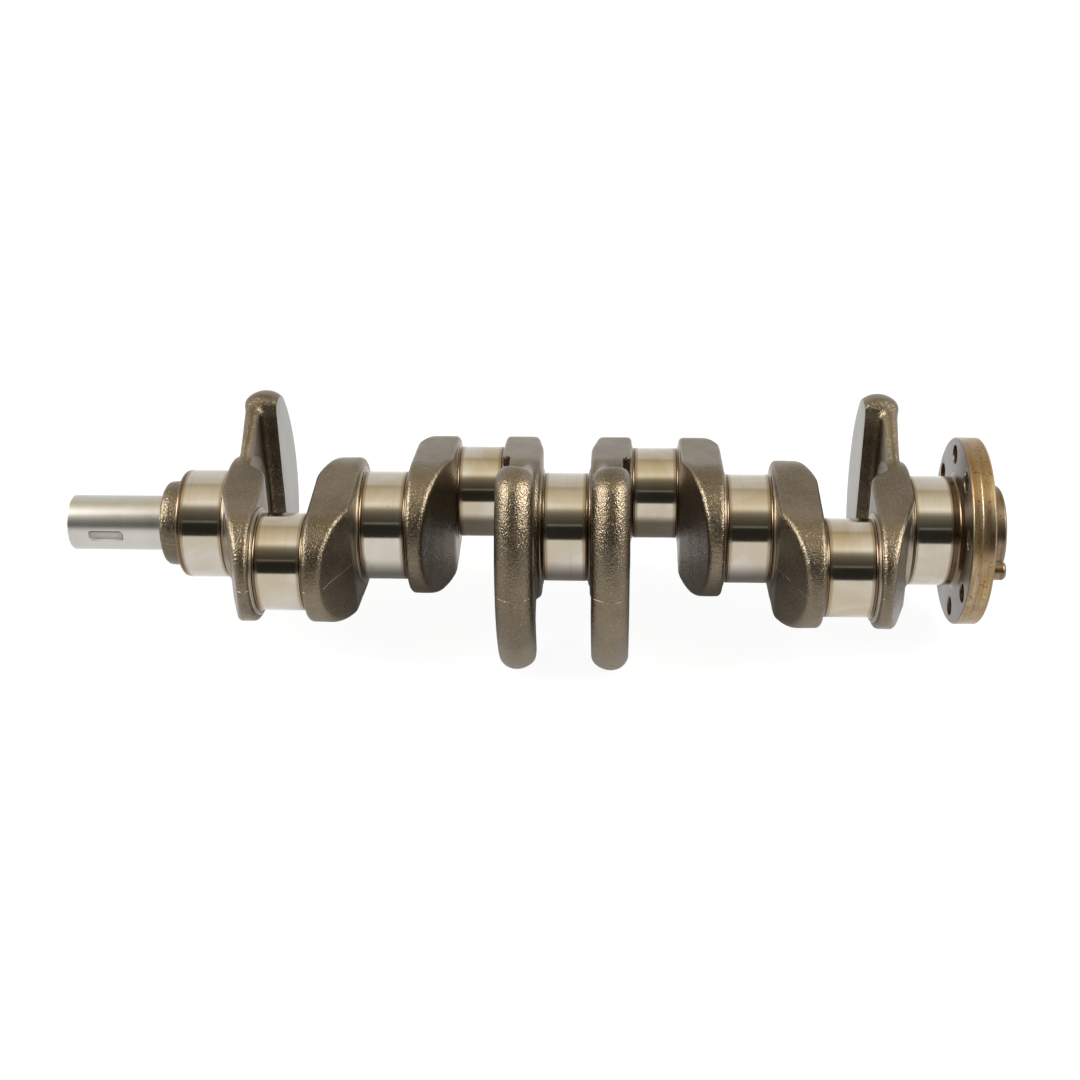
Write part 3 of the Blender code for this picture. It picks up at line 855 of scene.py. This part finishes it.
def webs():
    """Each kind of web is meshed once, and then placed and given its two thrust rings."""
    meshes = {shape: web_mesh(shape) for shape in WEB_SHAPES}
    for number, (shape, main_number, pin_number) in WEBS.items():
        points, faces, slots = meshes[shape]
        bare = machined_share(shape, *points.T)
        faces, slots = list(faces), list(slots)
        for radius, over, centre, flip in ((MAIN_R, RING_OVER_MAIN, 0.0, False),
                                           (PIN_R, RING_OVER_PIN, THROW, True)):
            profile = thrust_ring(radius, over, FILLET)
            if flip:
                profile = [(WEB_WIDTH - depth, across) for depth, across in profile]
            more, ring_faces = turned(profile, (centre, 0.0))
            start = len(points)
            points = np.concatenate([points, more])
            faces += [[index + start for index in face] for face in ring_faces]
            slots += [2] * len(ring_faces)
        way = 1 if pin_x(pin_number) > main_x(main_number) else -1
        throw_way = pin_side(pin_number)
        placed = points * (way, throw_way, 1.0) + (main_x(main_number) + way * MAIN_HALF, 0.0, 0.0)
        soft_ridges = 48.0
        piece = make_piece("web_%d_forging" % number, placed, faces, [FORGED, MACHINED, RING], soft_ridges)
        piece.data.polygons.foreach_set("material_index", slots)
        store(piece, "machined", np.concatenate([bare, np.full(len(points) - len(bare), -1.0)]))
        finish_piece(piece, "web_%d" % number)


# ---- Front end ----
def keyway_cutter():
    """Round-cornered slot, open outwards, turned to its angle about the shaft."""
    floor = SNOUT_R - KEYWAY_DEPTH
    top = SNOUT_R + 2.0
    half_long = KEYWAY_LENGTH / 2 - KEYWAY_CORNER
    half_wide = KEYWAY_WIDTH / 2 - KEYWAY_CORNER
    outline = []
    for x_way, z_way, start in ((1, 1, 0.0), (-1, 1, 0.5), (-1, -1, 1.0), (1, -1, 1.5)):
        for step in range(9):
            angle = math.pi * (start + 0.5 * step / 8)
            outline.append((x_way * half_long + KEYWAY_CORNER * math.cos(angle),
                            z_way * half_wide + KEYWAY_CORNER * math.sin(angle)))
    turn = Matrix.Rotation(-KEYWAY_TURN, 3, "X")
    middle = KEYWAY_FRONT + KEYWAY_LENGTH / 2
    points = [turn @ Vector((middle + x, -radius, z)) for radius in (floor, top) for x, z in outline]
    count = len(outline)
    faces = [list(range(count)), list(range(count, 2 * count))]
    faces += [[i, (i + 1) % count, count + (i + 1) % count, count + i] for i in range(count)]
    return make_piece("cutter", points, faces, [])


def threaded_bore(front, radius, depth):
    """Bore with a thread's ridges, from its end to its mouth at the front."""
    crest, root, run_out = radius - 0.3, radius + 0.45, 3.0
    profile = [(front + depth + radius * 0.6, 0.0), (front + depth, crest)]
    x = front + depth - run_out
    while x > front + run_out:
        profile += [(x, crest), (x - THREAD_PITCH / 2, root)]
        x -= THREAD_PITCH
    return profile + [(front + 1.6, radius), (front, radius + 1.4)]


def front_snout():
    profile = threaded_bore(SNOUT_FRONT, SNOUT_BORE_R, SNOUT_BORE_DEPTH)
    profile += rounded([
        (SNOUT_FRONT, SNOUT_R - 3.5, 0.0), (SNOUT_FRONT, SNOUT_R - 0.9, 0.25),
        (SNOUT_FRONT + 0.9, SNOUT_R, 0.35), (COLLAR_FRONT - 1.5, SNOUT_R, 0.0),
        (COLLAR_FRONT - 1.2, SNOUT_R - 0.3, 0.2), (COLLAR_FRONT - 0.4, SNOUT_R - 0.3, 0.2),
        (COLLAR_FRONT, SNOUT_R + 0.5, 0.0), (COLLAR_FRONT + 1.0, SNOUT_R + 0.5, 0.0),
        (COLLAR_FRONT + 1.0, 0.0, 0.0),
    ])
    snout = make_piece("front_snout_turned", *turned(profile), [SNOUT])
    cut(snout, keyway_cutter())
    tidy_normals(snout, 28.0)
    finish_piece(snout, "front_snout")


def front_collar():
    rear = MAIN_1_FRONT + 0.4
    corners = rounded([
        (COLLAR_FRONT, 0.0, 0.0), (COLLAR_FRONT, COLLAR_R - 0.6, 2.8), (COLLAR_FRONT + 5.0, COLLAR_R, 4.0),
        (rear, COLLAR_R - 0.2, 0.0), (rear, 0.0, 0.0),
    ], 6)
    profile = []
    longest = 1.3           # of a step along the profile, so that the skin has points to roughen
    for (x0, r0), (x1, r1) in zip(corners, corners[1:]):
        parts = max(1, int(math.hypot(x1 - x0, r1 - r0) / longest))
        profile += [(x0 + (x1 - x0) * i / parts, r0 + (r1 - r0) * i / parts) for i in range(parts)]
    profile.append(tuple(corners[-1]))
    collar = make_piece("front_collar_forged", *turned(profile), [FORGED])
    roughen(collar, 5.0, 0.10, (COLLAR_R - 3.0) * MM, COLLAR_R * MM)
    store(collar, "machined", np.full(len(collar.data.vertices), -1.0))
    finish_piece(collar, "front_collar")


# ---- Rear end ----
def flange_point(angle, x):
    return Vector((x, -BOLT_CIRCLE_R * math.cos(angle), BOLT_CIRCLE_R * math.sin(angle)))


def rear_flange():
    groove = FLANGE_FRONT + 5.0
    profile = rounded([
        (FLANGE_FRONT, PILOT_R, 0.0), (FLANGE_FRONT, FLANGE_R - 0.7, 0.2),
        (FLANGE_FRONT + 0.7, FLANGE_R, 0.3), (groove - 0.25, FLANGE_R, 0.1),
        (groove, FLANGE_R - 0.3, 0.1), (groove + 0.25, FLANGE_R - 0.1, 0.0),
        (FLANGE_REAR - 0.9, FLANGE_R - 0.1, 0.3), (FLANGE_REAR, FLANGE_R - 1.0, 0.2),
        (FLANGE_REAR, PILOT_R, 0.0),
    ], 3)
    flange = make_piece("rear_flange_turned", *turned(profile, segments=TURNS * 4 // 3), [FLANGE])
    thick = FLANGE_REAR - FLANGE_FRONT
    for number in range(BOLT_HOLES):
        angle = FIRST_HOLE + number * 2 * math.pi / BOLT_HOLES
        start, end = flange_point(angle, FLANGE_FRONT - 2), flange_point(angle, FLANGE_REAR + 2)
        drill(flange, start, end, BOLT_HOLE_R, 0.5, [(2.0, -1), (2.0 + thick, 1)])
    start, end = flange_point(DOWEL_TURN, FLANGE_REAR - 9), flange_point(DOWEL_TURN, FLANGE_REAR + 2)
    drill(flange, start, end, DOWEL_R + 0.05, 0.4, [(9.0, 1)])
    tidy_normals(flange, 28.0)
    finish_piece(flange, "rear_flange")


def pilot_boss():
    profile = rounded([
        (FLANGE_REAR - 0.2, PILOT_R, 0.0), (FLANGE_REAR - 0.2, BOSS_R, 0.0), (BOSS_REAR - 1.0, BOSS_R, 0.35),
        (BOSS_REAR, BOSS_R - 1.0, 0.35), (BOSS_REAR, PILOT_R + 1.2, 0.2), (BOSS_REAR - 1.2, PILOT_R, 0.2),
        (BOSS_REAR - 1.6, PILOT_R, 0.0),
    ], 3)
    boss = make_piece("pilot_boss_turned", *turned(profile), [BOSS])
    finish_piece(boss, "pilot_boss")


def flange_dowel():
    start = flange_point(DOWEL_TURN, FLANGE_REAR - DOWEL_SUNK)
    length = DOWEL_REAR - FLANGE_REAR + DOWEL_SUNK
    profile = rounded([
        (0.0, 0.0, 0.0), (0.0, DOWEL_R, 0.4), (length - 1.4, DOWEL_R, 1.0), (length, DOWEL_R - 1.0, 0.5),
        (length, 1.6, 0.2), (length - 0.8, 0.0, 0.0),
    ], 4)
    points, faces = turned(profile, segments=64)
    dowel = make_piece("flange_dowel", along_line(points, start, start + Vector((1, 0, 0))), faces, [BOSS])
    finish_piece(dowel, "flange_dowel_pin")


# ---- Studio ----
# Pale table and backdrop, mostly self-lit.  The world is the light: dark in front, with a thin
# bright strip, a warm softbox overhead, pale behind, and a lamp on each side.
#
# The sky's angle above the horizon, from the camera's side over the top to the back, and its light.
SKY = (
    (-90, (1.0, 1.0, 1.0)), (-6, (0.85, 0.85, 0.84)), (0, (0.03, 0.03, 0.025)),
    (28, (0.03, 0.03, 0.025)), (30.5, (0.42, 0.40, 0.35)), (33, (0.07, 0.065, 0.055)),
    (48, (0.17, 0.155, 0.12)), (56, (0.28, 0.26, 0.20)), (62, (0.55, 0.51, 0.41)), (67, (1.15, 1.10, 0.96)),
    (72, (1.40, 1.34, 1.18)), (80, (1.18, 1.10, 0.93)), (100, (0.93, 0.84, 0.64)),
    (112, (0.76, 0.67, 0.49)), (118, (0.64, 0.56, 0.43)), (124, (0.86, 0.81, 0.70)),
    (136, (0.90, 0.86, 0.78)), (152, (0.96, 0.95, 0.92)), (180, (1.0, 1.0, 0.99)),
)
LAMP_WAY = Vector((0.77, -0.19, 0.60)).normalized()      # and its mirror image on the other side
LAMP_LIGHT = 13.0
LAMP_EDGE = 0.93            # cosine of the angle from the lamp's middle to where its glow ends
LAMP_CORE = 0.985           # and to where it is full
SQUARE = ((-1, -1), (1, -1), (1, 1), (-1, 1))
TABLE_HALF = 6.0            # metres
TABLE_GLOW = 0.94
ROOM_HALF = 5.9             # metres, as is the next one
ROOM_HIGH = 5.9
# Painted shadow under the shaft: a dark card that only reflections see, with sizes in millimetres.
CARD_HALF_LENGTH = 160.0
CARD_FRONT = -74.0          # y of the card's front and rear edges
CARD_REAR = 60.0
CARD_SOFT = 38.0            # width of the card's soft ends
CARD_FADE = 62.0            # and of its soft front edge
CARD_SHADE = 0.80           # how much of the table it hides
CARD_LIFT = 0.5             # above the table


def studio_world():
    world = bpy.data.worlds.new("studio")
    bpy.context.scene.world = world
    make = Wiring(world, "Generated")
    x, y, z = (make.axis(number) for number in range(3))
    angle = make.math("ARCTAN2", z, make.math("MULTIPLY", y, -1.0))
    sky = make.node("ShaderNodeValToRGB")
    make.link(sky.inputs[0], make.math("MULTIPLY_ADD", angle, 1.0 / (2 * math.pi), 0.5))
    stops = sky.color_ramp.elements
    for index, (degrees, light) in enumerate(SKY):
        position = (degrees + 180.0) / 360.0
        stop = stops[index] if index < 2 else stops.new(position)
        stop.position = position
        stop.color = (*light, 1.0)
    folded = make.node("ShaderNodeCombineXYZ")
    for socket, value in zip(folded.inputs, (make.math("ABSOLUTE", x), y, z)):
        make.link(socket, value)
    facing = make.node("ShaderNodeVectorMath", operation="DOT_PRODUCT")
    make.link(facing.inputs[0], folded.outputs[0])
    make.link(facing.inputs[1], LAMP_WAY)
    lamps = make.ramp(facing.outputs["Value"], LAMP_EDGE, LAMP_CORE, 0.0, LAMP_LIGHT)
    total = make.node("ShaderNodeVectorMath", operation="ADD")
    make.link(total.inputs[0], sky.outputs[0])
    make.link(total.inputs[1], lamps)
    make.link(make.tree.nodes["Background"].inputs[0], total.outputs[0])


def stage_object(name, corners, faces, material):
    """A plain object of the studio, from corners in metres."""
    mesh = bpy.data.meshes.new(name)
    mesh.from_pydata(corners, [], faces)
    mesh.materials.append(material)
    made = bpy.data.objects.new(name, mesh)
    bpy.context.scene.collection.objects.link(made)
    return made


def hide_from(made, *rays):
    for kind in rays:
        setattr(made, "visible_" + kind, False)


def self_lit(make, strength):
    """Make a shader glow white, without a highlight."""
    make.bsdf.inputs["Specular IOR Level"].default_value = 0.0
    make.bsdf.inputs["Emission Color"].default_value = (1.0, 1.0, 1.0, 1.0)
    make.bsdf.inputs["Emission Strength"].default_value = strength


def table_top():
    make = Shader("white_table")
    faint = make.noise(3.0, 2.0, 0.5)
    colour = make.mix(faint, (0.085, 0.085, 0.085), (0.090, 0.090, 0.090))
    make.link(make.bsdf.inputs["Base Color"], colour)
    make.bsdf.inputs["Roughness"].default_value = 0.9
    self_lit(make, TABLE_GLOW)
    corners = [(x * TABLE_HALF, y * TABLE_HALF, FLOOR_Z) for x, y in SQUARE]
    table = stage_object("table_top", corners, [(0, 1, 2, 3)], make.material)


def backdrop():
    """White walls and ceiling, which only the camera sees."""
    make = Shader("white_backdrop")
    make.bsdf.inputs["Base Color"].default_value = (0.0, 0.0, 0.0, 1.0)
    self_lit(make, 1.0)
    corners = [(x * ROOM_HALF, y * ROOM_HALF, z) for z in (FLOOR_Z, ROOM_HIGH) for x, y in SQUARE]
    walls = [(i, (i + 1) % 4, 4 + (i + 1) % 4, 4 + i) for i in range(4)]
    room = stage_object("backdrop", corners, walls + [(4, 5, 6, 7)], make.material)
    hide_from(room, "diffuse", "glossy", "transmission", "shadow")


def painted_shadow_card():
    """Painted shadow: a soft-edged brown card under the middle of the shaft, standing in for the shade on the
    table there, which shows only in reflections.
    """
    make = Shader("painted_shadow_card")
    make.bsdf.inputs["Base Color"].default_value = (0.10, 0.065, 0.035, 1.0)
    make.bsdf.inputs["Specular IOR Level"].default_value = 0.0
    from_front = make.ramp(make.axis(1), CARD_FRONT * MM, (CARD_FRONT + CARD_FADE) * MM)
    from_middle = make.math("ABSOLUTE", make.math("SUBTRACT", make.axis(0), MIDDLE * MM))
    from_ends = make.ramp(from_middle, (CARD_HALF_LENGTH - CARD_SOFT) * MM, CARD_HALF_LENGTH * MM, 1.0, 0.0)
    covered = make.math("MULTIPLY", from_front, from_ends)
    make.link(make.bsdf.inputs["Alpha"], make.math("MULTIPLY", covered, CARD_SHADE))
    height = FLOOR_Z + CARD_LIFT * MM
    corners = [((MIDDLE + x * CARD_HALF_LENGTH) * MM, (CARD_REAR if y > 0 else CARD_FRONT) * MM, height)
               for x, y in SQUARE]
    card = stage_object("painted_shadow_card", corners, [(0, 1, 2, 3)], make.material)
    hide_from(card, "camera", "diffuse", "shadow")


# ---- Camera: a little above the throw plane, nearly square on ----
CAMERA_ELEVATION = math.radians(28.0)
CAMERA_YAW = math.radians(-2.695)
CAMERA_ROLL = math.radians(0.6)
CAMERA_DISTANCE = 841.9     # from the middle of the shaft
CAMERA_ASIDE = -14.12       # shift to the right and up, in the camera's own directions
CAMERA_UP = -7.27
CAMERA_LENS = 52.22


def aim_camera():
    lift = Matrix.Rotation(-CAMERA_ELEVATION, 3, "X")
    turn = lift @ Matrix.Rotation(CAMERA_YAW, 3, "Z").transposed()
    place = turn @ Vector((CAMERA_ASIDE, -CAMERA_DISTANCE, CAMERA_UP)) + Vector((MIDDLE, 0.0, 0.0))
    right = turn @ Vector((math.cos(CAMERA_ROLL), 0.0, math.sin(CAMERA_ROLL)))
    up = turn @ Vector((-math.sin(CAMERA_ROLL), 0.0, math.cos(CAMERA_ROLL)))
    back = turn @ Vector((0.0, -1.0, 0.0))
    data = bpy.data.cameras.new("camera")
    data.lens = CAMERA_LENS
    data.clip_start = 0.02
    data.clip_end = 50.0
    camera = bpy.data.objects.new("camera", data)
    bpy.context.scene.collection.objects.link(camera)
    matrix = Matrix((right, up, back)).transposed().to_4x4()
    matrix.translation = place * MM
    camera.matrix_world = matrix
    bpy.context.scene.camera = camera


aim_camera()
studio_world()
table_top()
backdrop()
painted_shadow_card()
journals()
webs()
front_snout()
front_collar()
rear_flange()
pilot_boss()
flange_dowel()
bpy.context.scene.view_settings.view_transform = "Standard"
